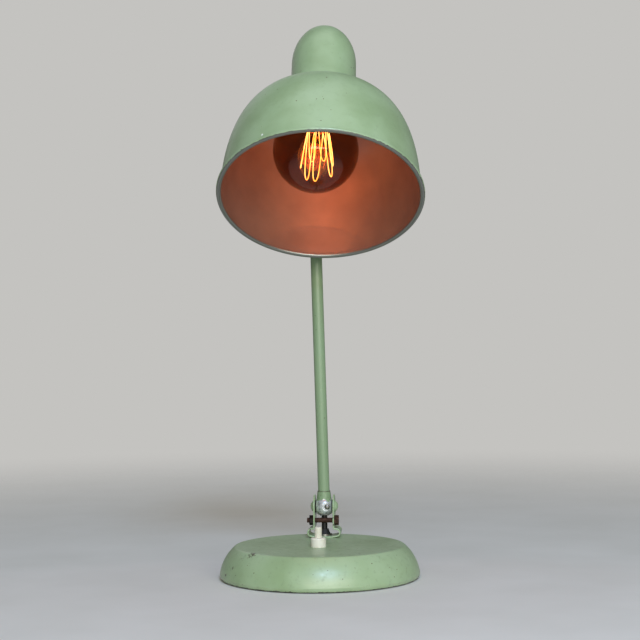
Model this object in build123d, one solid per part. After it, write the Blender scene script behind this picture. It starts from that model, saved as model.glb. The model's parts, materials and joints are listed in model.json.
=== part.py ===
from build123d import *
from math import acos, asin, cos, hypot, pi, radians, sin, sqrt
import os

# Desk lamp: a round weighted base, one tilting arm and a tilting spun shade.
# Millimetres. The origin is the centre of the base on the table, +Z is up and the lamp faces -Y.

os.makedirs("parts", exist_ok=True)

# Clearances
running_fit = 0.05         # a turning pin or sliding plunger in its hole, per side
loose_fit = 0.25           # a fixed screw or pipe through a hole, per side
body_gap = 0.3             # faces of pieces that move past each other
sunk = 0.3                 # how far a domed head or a washer is let into its seat
cut_over = 5.0             # how far a cutting tool runs past the face that it leaves

# Base
base_radius = 100.0
base_height = 32.5
shoulder_width = 15.5      # from the flat top out to the widest circle
shoulder_out = 0.68        # the shoulder's curve passes this share of its width from the flat top
shoulder_up = 0.615        # and this share of the base's height above the table
widest_height = 5.0
foot_inset = 1.5           # how far the lower edge tucks in
edge_gap = 1.2             # the shell's lower edge above the table
crease_radius = 3.0
base_wall = 1.5
pad_height = 4.5
pad_width = 14.0
pad_inset = 4.0
cover_thickness = 1.5
weight_thickness = 14.0
weight_inset = 9.0
weight_hole_radius = 40.0
weight_slot = 48.0         # open side of the horseshoe, for the leads
weight_chamfer = 1.5
stud_circle = 63.0
stud_radius = 2.5
stud_angles = (30, 150, 270)
stud_flange = 1.2
stud_nut_height = 2.7
stud_nut_flats = 8.0
stud_short = 0.2           # the stud's end, inside its nut's face

# Push switch
switch_y = -14.0
switch_body_radius = 12.0
switch_body_depth = 22.0
switch_neck_radius = 5.8
switch_neck_height = 7.0
switch_bore_radius = 4.8
switch_floor = 5.0
collar_radius = 7.65
collar_height = 9.0
collar_rounding = 1.6
plunger_radius = 3.5
plunger_height = 10.7      # above the collar, not pressed
plunger_travel = 2.5
plunger_flange = 3.2
plunger_stem_radius = 1.6
plunger_stem = 8.0
plunger_rounding = 1.2
spring_wall = 0.9

# Lead and its inlet
lead_radius = 3.0
lead_clearance = 0.4
lead_height = 13.0         # height of the lead inside the base
lead_bend = 13.0
inlet_height = 14.0
inlet_bore = 3.6
inlet_neck = 5.5
inlet_flange = 7.5
inlet_flange_depth = 2.2

# Lyre bracket on the base
bracket_y = 61.0
strap_thickness = 1.5
strap_width = 24.0
cheek_gap = 18.5           # between the cheeks
curl_width = 34.4          # over both curled corners
curl_height = 9.9
curl_radius = 4.35         # outer radius of the curled corners
foot_rise = 1.6            # how far the strap's corners stand up from the base
neck_bend = 1.9            # bend from the curl up into the cheek
pipe_radius = 5.0          # threaded pipe that holds the strap
pipe_flange_radius = 7.4
pipe_flange = 1.6
pipe_drop = 5.0            # below the shell's inner face
pipe_nut_flats = 14.0
pipe_nut_height = 3.6
bush_radius = 6.0
bush_top_radius = 4.1
bush_height = 5.0

# Tie bolt through the cheeks
tie_forward = 6.5          # in front of the pivot
tie_drop = 13.7            # below the pivot
tie_radius = 2.5
tie_flats = 9.0
tie_nut_height = 4.2
tie_head_height = 4.5
tie_end = 2.5

# Lower pivot
pivot_height = 64.0
arm_skew = 1.2             # the pivot's screws sit uneven, so the arm stands a little to the left
knuckle_radius = 10.6
knuckle_width = 15.8
knuckle_mouth = 38.0       # half angle of the slot that the lead swings in
collar_top_radius = 6.65
collar_base_radius = 7.8
collar_start = 5.0
collar_length = 16.0
socket_depth = 7.0
pivot_radius = 3.0
pivot_depth = 3.2          # of the screw's tip in the knuckle
pivot_head_radius = 6.3
pivot_head_height = 3.6
pivot_washer_radius = 6.4
pivot_washer = 0.8
plug_x = 3.5
plug_radius = 2.8
plug_shank_radius = 2.0
plug_recess_radius = 4.7
plug_recess = 0.9
plug_head = 1.3
plug_gap = 1.0             # between its shank and the lead

# Arm
arm_length = 410.0         # between the two pivots
tube_radius = 6.0
tube_wall = 1.0
arm_lead_inset = 1.0       # the arm's lead starts inside the ball

# Upper pivot: two hollow discs side by side on one bolt
disc_radius = 12.5
disc_width = 15.8
disc_rounding = 1.6
disc_cavity_radius = 9.0
disc_cavity_depth = 9.0
disc_hub_radius = 4.4
disc_collar_base = 7.7
disc_collar_top = 6.9
disc_collar_length = 21.0
disc_floor = 0.5           # the disc's neck or stem starts this far past its cavity
friction_ring = 1.5
friction_outer = 12.1
friction_inner = 9.2
bolt_radius = 3.0
bolt_head_flats = 10.0
bolt_head = 4.0
wing_washer = 1.2
wing_washer_radius = 7.0
wing_hub_radius = 5.6
wing_hub = 7.5
wing_reach = 14.5
wing_thickness = 2.6
wing_rise = 4.0            # wings stand out past the hub
wing_root = 1.0            # the wings' roots, inside the hub's two faces
wing_lean = 1.5            # how much wider a wing gets outwards
wing_gap = 0.1             # between the nut and its washer
wing_rounding = 1.6
wing_taper = 0.82          # the hub's outer end, as a share of its seat
bolt_end = 3.0

# Shade, along its own axis: the height is measured up from the plane of the rim
shade_angle = 34.0         # tilt of its axis back from upright
dome_radius = 96.2
dome_height = 110.0
dome_power_r = 4.45        # outline: (r / radius)^power_r + (height / dome_height)^power_h = 1
dome_power_h = 2.02
dome_wall = 1.0
dome_points = 14
rim_radius = 97.5
rim_bead = 2.5
wire_radius = 1.6
neck_radius = 32.5
neck_top = 213.0
neck_rounding = 46.0
neck_points = 8
neck_wall = 1.2
neck_seat = 0.4
dome_collar_height = 11.0
neck_screw_height = 6.0    # above the dome's top
neck_screw_radius = 1.5
neck_screw_head = 2.8
neck_screw_rise = 1.4
neck_screw_grip = 3.0      # how deep its shank reaches
neck_screw_angles = (90, 210, 330)

# Where the shade hangs on its disc
joint_height = 155.0
joint_back = 55.0          # behind the shade's axis
saddle_radius = 10.0
saddle_height = 3.5
stem_shoulder = 7.6
stem_radius = 5.0
stem_clearance = 0.3       # between the lead and the stem's bore
stem_past_nut = 1.0
stem_nut_flats = 13.0
stem_nut = 4.0

# Lampholder and bulb, on an axis that is canted in the neck
cant = 3.0
cant_height = 165.5
bridge_thickness = 2.0
bridge_width = 20.0
bridge_drop = 12.0
bridge_reach = 12.0
holder_radius = 19.5
holder_bottom = 102.0
holder_shoulder = 146.0
holder_cone_top = 160.0
holder_cone_radius = 14.0
boss_radius = 7.0
boss_gap = 0.8             # room for the cant
holder_screw_radius = 2.0
holder_screw_head = 3.8
holder_screw_rise = 2.2
holder_screw_gap = 4.0     # its end, above the holder's shoulder
holder_lip = 2.2
lead_in_holder = 3.0       # how far the lead goes into the holder's side
lead_hole_depth = 4.0
lead_hole_fit = 1.0        # round the lead, where it goes in
shade_lead_gap = 1.0       # between the lead and the disc's hub
shell_radius = 13.9
shell_wall = 0.5
shell_bottom = 104.5
shell_top = 129.5
contact_height = 132.8
contact_width = 8.0
contact_thickness = 0.6
contact_post = 1.5
contact_room = 1.5         # above the contact's tongue
bulb_radius = 42.0
bulb_height = 56.0         # of the globe's centre
bulb_neck_radius = 13.0
bulb_neck_fillet = 16.0
glass_wall = 0.8
cap_radius = 13.3
cap_bottom = 106.5
cap_length = 21.5
cap_taper = 2.4
cap_insulator = 2.6
cap_insulator_step = 0.5   # inside the sleeve's edge
cap_insulator_rim = 0.8    # round the tip
neck_in_cap = 4.0          # how far the glass neck goes into the cap
tip_radius = 4.8
tip_height = 1.4
mount_radius = 2.2         # glass rod that carries the filament
mount_bottom = 74.0
mount_ball = 3.08          # knob at its free end
mount_foot = 9.0           # flared part at its other end
mount_in_cap = 3.0
mount_gap = 0.4            # between the foot and the glass neck
hook_height = 76.0
hook_spread = 8.0
loop_bottom = 30.0
loop_spread = 16.0
loop_count = 6
filament_radius = 0.45
strand_bend = 2.0


def rod(start, end, radius):
    axis = Vector(*end) - Vector(*start)
    return Solid.make_cylinder(radius, axis.length, Plane(origin=start, z_dir=axis))


def cone(start, end, first_radius, last_radius):
    axis = Vector(*end) - Vector(*start)
    return Solid.make_cone(first_radius, last_radius, axis.length, Plane(origin=start, z_dir=axis))


def pipe(start, end, outer, inner):
    return rod(start, end, outer) - rod(start, end, inner)


def hexagon(start, end, flats):
    axis = Vector(*end) - Vector(*start)
    outline = Plane(origin=start, z_dir=axis) * RegularPolygon(flats / 2, 6, major_radius=False)
    return extrude(outline, axis.length)


def domed(start, end, radius):
    """Spherical cap that stands on a circle at start and peaks at end."""
    axis = Vector(*end) - Vector(*start)
    ball = (radius**2 + axis.length**2) / (2 * axis.length)
    centre = Vector(*end) - axis.normalized() * ball
    edge = 90 - asin(radius / ball) * 180 / pi
    return Solid.make_sphere(ball, Plane(origin=centre, z_dir=axis), edge, 90)


def turned(*lines):
    """Solid of revolution about Z, from a closed outline of (radius, height) lines."""
    return revolve(Plane.XZ * make_face(Curve() + list(lines)), Axis.Z)


def keep(name, shape):
    """Write one node, as one solid or as a group of separate solids."""
    solids = shape.solids()
    export_step(solids[0] if len(solids) == 1 else Compound(solids), "parts/" + name + ".step")


# Places that several pieces share
plateau_radius = base_radius - shoulder_width
inner_top = base_height - base_wall
cover_top = pad_height + cover_thickness
strap_top = base_height + strap_thickness
cheek_outer = cheek_gap / 2 + strap_thickness
half_knuckle = knuckle_width / 2
half_disc = disc_width / 2
disc_offset = disc_width + friction_ring + body_gap
skewed = Pos(0, bracket_y, pivot_height) * Rot(0, -arm_skew, 0)
upper = skewed * Pos(0, 0, arm_length)
shade = upper * Rot(-shade_angle, 0, 0) * Pos(disc_offset, -joint_back, -joint_height)
lamp = shade * Pos(0, 0, cant_height) * Rot(0, cant, 0) * Pos(0, 0, -cant_height)


# ---- Base ----

def base_solid(inset):
    """Everything under the base's outer surface, moved inwards by inset."""
    outer = base_radius - inset
    flat = plateau_radius - 0.6 * inset
    top = base_height - inset
    middle = (plateau_radius + shoulder_out * shoulder_width - 0.85 * inset, shoulder_up * base_height - 0.5 * inset)
    foot = (outer - foot_inset, edge_gap)
    widest = (outer, widest_height)
    tuck = (outer - 0.25 * foot_inset, (edge_gap + widest_height) / 2)
    solid = turned(Polyline((flat, top), (0, top), (0, edge_gap), foot),
                   ThreePointArc(foot, tuck, widest), ThreePointArc(widest, middle, (flat, top)))
    crease = solid.edges().filter_by(GeomType.CIRCLE).sort_by(Axis.Z)[-1]
    return fillet(crease, crease_radius)


def make_inlet_hole(radius):
    return rod((0, base_radius - 3 * cut_over, inlet_height), (0, base_radius + cut_over, inlet_height), radius)


def make_base_shell():
    holes = rod((0, switch_y, inner_top - 1), (0, switch_y, base_height + 1), switch_neck_radius + loose_fit)
    holes += rod((0, bracket_y, inner_top - 1), (0, bracket_y, base_height + 1), pipe_radius + loose_fit)
    return base_solid(0) - base_solid(base_wall) - holes - make_inlet_hole(inlet_neck)


def at_studs():
    return [Rot(0, 0, angle) * Pos(stud_circle, 0, 0) for angle in stud_angles]


def make_base_studs():
    low = pad_height - stud_nut_height + stud_short
    stud = rod((0, 0, low), (0, 0, inner_top), stud_radius)
    stud += rod((0, 0, inner_top - stud_flange), (0, 0, inner_top), 2 * stud_radius)
    return Compound([place * stud for place in at_studs()])


def make_stud_nuts():
    low = (0, 0, pad_height - stud_nut_height)
    nut = hexagon(low, (0, 0, pad_height), stud_nut_flats) - rod(low, (0, 0, pad_height), stud_radius)
    return Compound([place * nut for place in at_studs()])


def stud_holes():
    hole = rod((0, 0, 0), (0, 0, base_height), stud_radius + loose_fit)
    return [place * hole for place in at_studs()]


def make_base_cover():
    radius = base_radius - foot_inset - base_wall - body_gap
    return rod((0, 0, pad_height), (0, 0, cover_top), radius) - stud_holes()


def make_base_pad():
    outer = base_radius - foot_inset - base_wall - pad_inset
    return pipe((0, 0, 0), (0, 0, pad_height), outer, outer - pad_width)


def make_base_weight():
    """Cast-iron horseshoe, open towards the back for the leads."""
    low = (0, 0, cover_top)
    high = (0, 0, cover_top + weight_thickness)
    outer = base_radius - foot_inset - weight_inset
    block = pipe(low, high, outer, weight_hole_radius)
    slot = Pos(0, base_radius / 2, 0) * Box(weight_slot, base_radius, 4 * base_height)
    block = block - slot - stud_holes()
    rim = block.edges().filter_by(GeomType.CIRCLE).filter_by(lambda edge: edge.radius > outer - 1)
    return chamfer(rim, weight_chamfer)


def make_inlet_bush():
    """Rubber bush snapped in the shell's back wall."""
    reach = base_radius + 0.6 * inlet_flange_depth
    inner = base_radius - base_wall - 2.2 * inlet_flange_depth
    flanges = rod((0, inner, inlet_height), (0, reach, inlet_height), inlet_flange)
    flanges -= base_solid(0) - base_solid(base_wall)
    neck = rod((0, inner, inlet_height), (0, reach, inlet_height), inlet_neck)
    return flanges + neck - make_inlet_hole(inlet_bore)


# ---- Push switch ----

collar_top = base_height + collar_height
neck_end = base_height + switch_neck_height
plunger_guide = plunger_radius + running_fit


def switch_rod(low, high, radius):
    return rod((0, switch_y, low), (0, switch_y, high), radius)


def make_switch_body():
    low = inner_top - switch_body_depth
    body = switch_rod(low, inner_top, switch_body_radius) + switch_rod(inner_top, neck_end, switch_neck_radius)
    return body - switch_rod(low + switch_floor, neck_end, switch_bore_radius)


def make_switch_collar():
    collar = switch_rod(base_height, collar_top, collar_radius)
    collar = fillet(collar.edges().filter_by(GeomType.CIRCLE).sort_by(Axis.Z)[-1], collar_rounding)
    collar -= switch_rod(base_height, neck_end, switch_neck_radius)
    return collar - switch_rod(neck_end, collar_top, plunger_guide)


def make_switch_plunger():
    flange_top = neck_end - body_gap
    flange_low = flange_top - plunger_flange
    tip = switch_rod(flange_low, collar_top + plunger_height, plunger_radius)
    tip = fillet(tip.edges().filter_by(GeomType.CIRCLE).sort_by(Axis.Z)[-1], plunger_rounding)
    tip += switch_rod(flange_low, flange_top, switch_bore_radius - body_gap)
    return tip + switch_rod(flange_low - plunger_stem, flange_low, plunger_stem_radius)


def make_switch_spring():
    low = inner_top - switch_body_depth + switch_floor
    high = neck_end - body_gap - plunger_flange
    outer = switch_bore_radius - body_gap
    return switch_rod(low, high, outer) - switch_rod(low, high, outer - spring_wall)


# ---- Lyre bracket and its fastenings ----

def make_joint_bracket():
    """Strap bent into a lyre: bowed foot, curled corners and two upright cheeks."""
    half = strap_thickness / 2
    cheek = cheek_gap / 2 + half
    corner = curl_width / 2 - half
    foot = base_height + half
    shoulder = foot + curl_height - strap_thickness
    top = pivot_height + strap_width / 2
    right = [(corner / 2, foot), (corner, foot + foot_rise), (corner, shoulder), (cheek, shoulder), (cheek, top)]
    left = [(-x, z) for x, z in reversed(right)]
    curl = curl_radius - half
    bends = [neck_bend, curl, curl]
    line = FilletPolyline(*[(x, bracket_y, z) for x, z in left + right],
                          radius=bends + [curl * 3] * 2 + bends[::-1])
    section = Plane(origin=line @ 0, x_dir=(0, 1, 0), z_dir=line % 0) * Rectangle(strap_width, strap_thickness)
    strap = sweep(section, path=line)
    side = rod((-corner * 2, bracket_y, pivot_height), (corner * 2, bracket_y, pivot_height), strap_width / 2)
    side += Pos(0, bracket_y, pivot_height / 2) * Box(4 * corner, strap_width, pivot_height)
    strap = strap & side
    strap -= skewed * rod((-corner, 0, 0), (corner, 0, 0), pivot_radius)
    strap -= tie_rod(-corner, corner, tie_radius + loose_fit)
    return strap - rod((0, bracket_y, base_height), (0, bracket_y, strap_top), pipe_radius)


def make_bracket_pipe():
    """Threaded pipe that clamps the strap to the shell and lets the lead through."""
    top = strap_top + pipe_flange
    low = inner_top - pipe_drop
    body = rod((0, bracket_y, strap_top), (0, bracket_y, top), pipe_flange_radius)
    body += rod((0, bracket_y, low), (0, bracket_y, strap_top), pipe_radius)
    return body - rod((0, bracket_y, low), (0, bracket_y, top), lead_radius + lead_clearance)


def make_bracket_nut():
    low = (0, bracket_y, inner_top - pipe_nut_height)
    high = (0, bracket_y, inner_top)
    return hexagon(low, high, pipe_nut_flats) - rod(low, high, pipe_radius)


def make_lead_bush():
    low = (0, bracket_y, strap_top + pipe_flange)
    high = (0, bracket_y, strap_top + pipe_flange + bush_height)
    return cone(low, high, bush_radius, bush_top_radius) - rod(low, high, lead_radius)


def tie_rod(start_x, end_x, radius):
    y = bracket_y - tie_forward
    z = pivot_height - tie_drop
    return rod((start_x, y, z), (end_x, y, z), radius)


def tie_hexagon(start_x, end_x):
    y = bracket_y - tie_forward
    z = pivot_height - tie_drop
    return hexagon((start_x, y, z), (end_x, y, z), tie_flats)


def make_tie_bolt():
    return (tie_rod(-cheek_outer - tie_nut_height - tie_end, cheek_outer, tie_radius)
            + tie_hexagon(cheek_outer, cheek_outer + tie_head_height))


def make_tie_nut():
    nut = tie_hexagon(-cheek_outer - tie_nut_height, -cheek_outer)
    return nut - tie_rod(-cheek_outer - tie_nut_height, -cheek_outer, tie_radius)


def make_pivot_screws(bracket):
    """Two domed screws, fixed in the cheeks, whose tips carry the knuckle."""
    screws = []
    for side in (-1, 1):
        head = domed((side * (cheek_outer - sunk), 0, 0), (side * (cheek_outer + pivot_head_height), 0, 0),
                     pivot_head_radius)
        tip = rod((side * (half_knuckle - pivot_depth), 0, 0), (side * cheek_outer, 0, 0), pivot_radius)
        screws.append(skewed * (head + tip) - bracket)
    return Compound([solid for screw in screws for solid in screw.solids()])


def make_pivot_washers(bracket):
    washers = []
    for side in (-1, 1):
        start = (side * (cheek_gap / 2 - pivot_washer), 0, 0)
        end = (side * (cheek_gap / 2 + sunk), 0, 0)
        washer = skewed * pipe(start, end, pivot_washer_radius, pivot_radius)
        washers.append(washer - bracket)
    return Compound([solid for washer in washers for solid in washer.solids()])


def make_foot_lead():
    """Lead from under the knuckle down through the pipe and forward to the switch."""
    top = pivot_height - knuckle_radius - body_gap
    back = (0, bracket_y, top)
    line = FilletPolyline(back, (0, bracket_y, lead_height), (0, switch_y + switch_body_radius, lead_height),
                          radius=lead_bend)
    print("foot lead bend", lead_bend, "length", round(line.length, 1))
    section = Plane(origin=line @ 0, z_dir=line % 0) * Circle(lead_radius)
    return sweep(section, path=line)


# ---- Arm ----

def make_lower_knuckle():
    """Cast ball with two flat sides, a socket for the tube and a slot for the lead."""
    ball = Sphere(knuckle_radius) & Box(knuckle_width, 3 * knuckle_radius, 3 * knuckle_radius)
    ball += cone((0, 0, collar_start), (0, 0, collar_length), collar_base_radius, collar_top_radius)
    ball -= rod((0, 0, collar_length - socket_depth), (0, 0, collar_length), tube_radius)
    slot = lead_radius + lead_clearance
    ball -= rod((0, 0, -knuckle_radius), (0, 0, collar_length), slot)
    reach = 2 * knuckle_radius
    side = reach * sin(radians(knuckle_mouth))
    fan = Plane.YZ * make_face(Polyline((0, 0), (side, -reach), (-side, -reach), close=True))
    ball -= Pos(-slot, 0, 0) * extrude(fan, 2 * slot)
    for side in (-1, 1):
        ball -= rod((side * (half_knuckle - pivot_depth - body_gap), 0, 0), (side * half_knuckle, 0, 0),
                    pivot_radius + running_fit)
    ball -= rod((plug_x, -plug_face(), 0), (plug_x, -knuckle_radius, 0), plug_recess_radius)
    return ball - rod((plug_x, 0, 0), (plug_x, -knuckle_radius, 0), plug_shank_radius)


def plug_face():
    return sqrt(knuckle_radius**2 - plug_x**2) - plug_recess


def make_knuckle_plug():
    face = plug_face()
    screw = rod((plug_x, -lead_radius - plug_gap, 0), (plug_x, -face, 0), plug_shank_radius)
    return screw + domed((plug_x, -face, 0), (plug_x, -face - plug_head, 0), plug_radius)


def make_arm_tube():
    low = (0, 0, collar_length - socket_depth)
    high = (0, 0, arm_length - disc_collar_length + socket_depth)
    return pipe(low, high, tube_radius, tube_radius - tube_wall)


def make_arm_lead():
    low = (0, 0, -knuckle_radius + arm_lead_inset)
    return rod(low, (0, 0, arm_length - disc_cavity_radius), lead_radius)


# ---- Upper pivot, around its own centre with the bolt along X ----

def disc_half(side):
    """Hollow disc, open on the side that faces its partner."""
    outline = rod((-half_disc, 0, 0), (half_disc, 0, 0), disc_radius)
    outline = fillet(outline.edges().filter_by(GeomType.CIRCLE), disc_rounding)
    mouth = side * half_disc
    floor = side * (half_disc - disc_cavity_depth)
    cavity = pipe((floor, 0, 0), (mouth, 0, 0), disc_cavity_radius, disc_hub_radius)
    return outline - cavity - rod((-half_disc, 0, 0), (half_disc, 0, 0), bolt_radius + running_fit)


def make_arm_disc():
    start = (0, 0, -disc_cavity_radius - disc_floor)
    end = (0, 0, -disc_collar_length)
    neck = cone(start, end, disc_collar_base, disc_collar_top)
    neck -= rod((0, 0, -disc_collar_length + socket_depth), end, tube_radius)
    disc = disc_half(1) + neck
    return disc - rod((0, 0, -disc_hub_radius), end, lead_radius + lead_clearance)


def make_friction_ring():
    return pipe((half_disc, 0, 0), (half_disc + friction_ring, 0, 0), friction_outer, friction_inner)


def make_pivot_bolt():
    far = disc_offset + half_disc
    head_start = far + body_gap
    end = half_disc + wing_washer + wing_hub + bolt_end
    return (rod((-end, 0, 0), (head_start, 0, 0), bolt_radius)
            + hexagon((head_start, 0, 0), (head_start + bolt_head, 0, 0), bolt_head_flats))


def make_wing_washer():
    return pipe((-half_disc - wing_washer, 0, 0), (-half_disc, 0, 0), wing_washer_radius, bolt_radius)


def make_wing_nut():
    """Wing nut: a tapered hub with two rounded wings."""
    near = -half_disc - wing_washer - wing_gap
    far = near - wing_hub
    hub = cone((near, 0, 0), (far, 0, 0), wing_hub_radius, wing_taper * wing_hub_radius)
    tip = wing_reach - wing_rise
    outline = Polyline((near - wing_root, 0), (near - wing_lean, tip * 0.62), (far - wing_rise, wing_reach),
                       (far - wing_rise - wing_lean, tip * 0.75), (far + wing_root, 0), close=True)
    wing = extrude(Plane.XZ * make_face(outline), wing_thickness / 2, both=True)
    wing = fillet(wing.edges().filter_by(Axis.Y).group_by(Axis.Z)[-1], wing_rounding)
    wings = wing + Rot(180, 0, 0) * wing
    return hub + wings - rod((near, 0, 0), (far - 2 * wing_rise, 0, 0), bolt_radius + running_fit)


def make_shade_disc():
    """Partner disc with the shouldered stem that holds the neck."""
    disc = Pos(0, joint_back, joint_height) * disc_half(-1)
    seat = neck_radius + saddle_height
    start = joint_back - disc_cavity_radius - disc_floor
    disc += rod((0, start, joint_height), (0, seat, joint_height), stem_shoulder)
    disc += rod((0, seat, joint_height), (0, stem_end(), joint_height), stem_radius)
    return disc - rod((0, joint_back - disc_hub_radius, joint_height), (0, stem_end(), joint_height),
                      lead_radius + stem_clearance)


# ---- Shade, along its own axis ----

def bridge_face():
    """Inner side of the bridge's upright leg, which stands against the neck's round wall."""
    return sqrt((neck_radius - neck_wall - body_gap)**2 - (bridge_width / 2)**2) - bridge_thickness


def stem_end():
    return bridge_face() - stem_nut - stem_past_nut


def dome_outline(inset, inner_radius):
    """Points of the dome's outline from the rim to inner_radius, moved inwards by inset."""
    radius = dome_radius - inset
    height = dome_height - inset
    last = acos((inner_radius / radius)**(dome_power_r / 2))
    steps = [last * i / dome_points for i in range(dome_points + 1)]
    return [(radius * cos(t)**(2 / dome_power_r), height * sin(t)**(2 / dome_power_h)) for t in steps]


def make_shade_dome():
    """Spun dome with a wired rim, and a collar that the neck stands over."""
    collar = neck_radius - neck_wall - running_fit
    outer = dome_outline(0, collar)
    inner = dome_outline(dome_wall, collar - dome_wall)
    top = dome_top() + dome_collar_height
    dome = turned(Spline(*outer), Polyline(outer[-1], (collar, top), (collar - dome_wall, top), inner[-1]),
                  Spline(*inner[::-1]), Line(inner[0], outer[0]))
    dome += Torus(rim_radius, rim_bead)
    return dome - Torus(rim_radius, wire_radius) - neck_screw_holes(neck_screw_radius)


def dome_top():
    return dome_outline(0, neck_radius)[-1][1]


def make_rim_wire():
    return Torus(rim_radius, wire_radius)


def neck_outline(inset):
    """Quarter ellipse that closes the neck, moved inwards by inset, from its side to its top."""
    start = neck_top - neck_rounding
    steps = [pi / 2 * i / neck_points for i in range(neck_points + 1)]
    return [((neck_radius - inset) * cos(t), start + (neck_rounding - inset) * sin(t)) for t in steps]


def neck_screw_holes(radius):
    height = dome_top() + neck_screw_height
    hole = rod((neck_radius - cut_over, 0, height), (neck_radius + cut_over, 0, height), radius)
    return [Rot(0, 0, angle) * hole for angle in neck_screw_angles]


def make_neck_cup():
    low = dome_top() + neck_seat
    outer = neck_outline(0)
    inner = neck_outline(neck_wall)
    inner[-1] = (0, neck_top - neck_wall)
    outer[-1] = (0, neck_top)
    cup = turned(Polyline(inner[0], (neck_radius - neck_wall, low), (neck_radius, low), outer[0]),
                 Spline(*outer, tangents=((0, 1), (-1, 0))), Line(outer[-1], inner[-1]),
                 Spline(*inner[::-1], tangents=((1, 0), (0, -1))))
    cup -= neck_screw_holes(neck_screw_radius)
    return cup - rod((0, 0, joint_height), (0, 2 * neck_radius, joint_height), stem_radius + running_fit)


def make_neck_screws():
    height = dome_top() + neck_screw_height
    shank = rod((neck_radius - neck_screw_grip, 0, height), (neck_radius, 0, height), neck_screw_radius)
    head = domed((neck_radius - sunk, 0, height), (neck_radius + neck_screw_rise, 0, height), neck_screw_head)
    screw = shank + (head - rod((0, 0, height - cut_over), (0, 0, height + cut_over), neck_radius))
    return Compound([Rot(0, 0, angle) * screw for angle in neck_screw_angles])


def make_neck_saddle():
    """Washer that is hollowed to the neck's round wall."""
    outer = neck_radius + saddle_height
    block = rod((0, 0, joint_height), (0, outer, joint_height), saddle_radius)
    reach = saddle_radius + cut_over
    block -= rod((0, 0, joint_height - reach), (0, 0, joint_height + reach), neck_radius)
    return block - rod((0, 0, joint_height), (0, outer, joint_height), stem_radius + running_fit)


def make_stem_nut():
    start = (0, bridge_face(), joint_height)
    end = (0, bridge_face() - stem_nut, joint_height)
    return hexagon(start, end, stem_nut_flats) - rod(start, end, stem_radius)


def make_holder_bridge():
    """Bent strip on the stem that carries the lampholder."""
    face = bridge_face()
    back = face + bridge_thickness
    top = cant_height + bridge_thickness
    low = joint_height - bridge_drop
    profile = Polyline((back, low), (back, top), (-bridge_reach, top), (-bridge_reach, cant_height),
                       (face, cant_height), (face, low), close=True)
    strip = extrude(Plane.YZ * make_face(profile), bridge_width / 2, both=True)
    strip -= rod((0, 0, joint_height), (0, 2 * neck_radius, joint_height), stem_radius + loose_fit)
    return strip - rod((0, 0, cant_height), (0, 0, top), holder_screw_radius + loose_fit)


def make_shade_lead():
    start = joint_back - disc_hub_radius - shade_lead_gap
    return rod((0, start, joint_height), (0, holder_cone_radius - lead_in_holder, joint_height), lead_radius)


# ---- Lampholder and bulb, on the canted axis ----

def make_lampholder():
    """Moulded lampholder: a deep cup with a conical crown and a boss."""
    crown_low = (0, 0, holder_shoulder)
    crown_high = (0, 0, holder_cone_top)
    body = rod((0, 0, holder_bottom), crown_low, holder_radius)
    body += cone(crown_low, crown_high, holder_radius, holder_cone_radius)
    body += rod(crown_high, (0, 0, cant_height - boss_gap), boss_radius)
    floor = contact_height + contact_room
    body -= rod((0, 0, holder_bottom), (0, 0, floor), shell_radius + shell_wall)
    body -= rod((0, 0, floor), (0, 0, holder_shoulder), contact_width)
    body -= rod((0, 0, holder_shoulder), (0, 0, cant_height), holder_screw_radius)
    hole = (0, holder_cone_radius - lead_hole_depth, joint_height)
    return body - rod(hole, (0, 2 * holder_radius, joint_height), lead_radius + lead_hole_fit)


def make_holder_screw():
    low = (0, 0, holder_shoulder + holder_screw_gap)
    top = (0, 0, cant_height + bridge_thickness + body_gap)
    return (rod(low, top, holder_screw_radius)
            + domed(top, (0, 0, top[2] + holder_screw_rise), holder_screw_head))


def make_screw_shell():
    shell = pipe((0, 0, shell_bottom), (0, 0, shell_top), shell_radius + shell_wall, shell_radius)
    lip = pipe((0, 0, shell_top), (0, 0, shell_top + shell_wall), shell_radius + shell_wall, shell_radius - holder_lip)
    return shell + lip


def make_centre_contact():
    """Sprung brass tongue above the bulb's tip."""
    low = contact_height
    high = low + contact_thickness
    plate = Pos(0, 0, (low + high) / 2) * Box(contact_width, contact_width, contact_thickness)
    post = rod((0, 0, high), (0, 0, holder_shoulder), contact_post)
    return plate + post


def glass_outline(inset):
    """Globe that runs into its neck on a hollow curve, moved inwards by inset."""
    ball = bulb_radius - inset
    neck = bulb_neck_radius - inset
    hollow = bulb_neck_fillet + inset
    rise = sqrt((ball + hollow)**2 - (neck + hollow)**2)
    share = ball / (ball + hollow)
    meet = ((neck + hollow) * share, bulb_height + rise * share)
    neck_start = bulb_height + rise
    bottom = (0, bulb_height - ball)
    globe = ThreePointArc(bottom, (ball, bulb_height), meet)
    middle = radians(180 + 0.5 * degrees_between(rise, neck + hollow))
    throat = (neck + hollow + hollow * cos(middle), neck_start + hollow * sin(middle))
    curve = ThreePointArc(meet, throat, (neck, neck_start))
    end = cap_bottom + neck_in_cap
    return turned(globe, curve, Polyline((neck, neck_start), (neck, end), (0, end), bottom))


def degrees_between(rise, run):
    """Angle, in degrees, of a slope that rises by rise over run."""
    return 180 / pi * acos(run / hypot(rise, run))


def make_bulb_glass():
    return glass_outline(0) - glass_outline(glass_wall)


def make_bulb_cap():
    """Thin brass sleeve that tapers in at its end."""
    top = cap_bottom + cap_length
    wall = cap_radius - bulb_neck_radius
    outer = [(cap_radius, cap_bottom), (cap_radius, top - cap_taper), (cap_radius - cap_taper, top),
             (tip_radius, top)]
    inner = [(tip_radius, top - wall), (cap_radius - cap_taper - 0.4 * wall, top - wall),
             (bulb_neck_radius, top - cap_taper - 0.4 * wall), (bulb_neck_radius, cap_bottom)]
    return turned(Polyline(*outer, *inner, close=True))


def make_cap_insulator():
    low = cap_bottom + cap_length
    return cone((0, 0, low), (0, 0, low + cap_insulator), cap_radius - cap_taper - cap_insulator_step,
                tip_radius + cap_insulator_rim)


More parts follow.
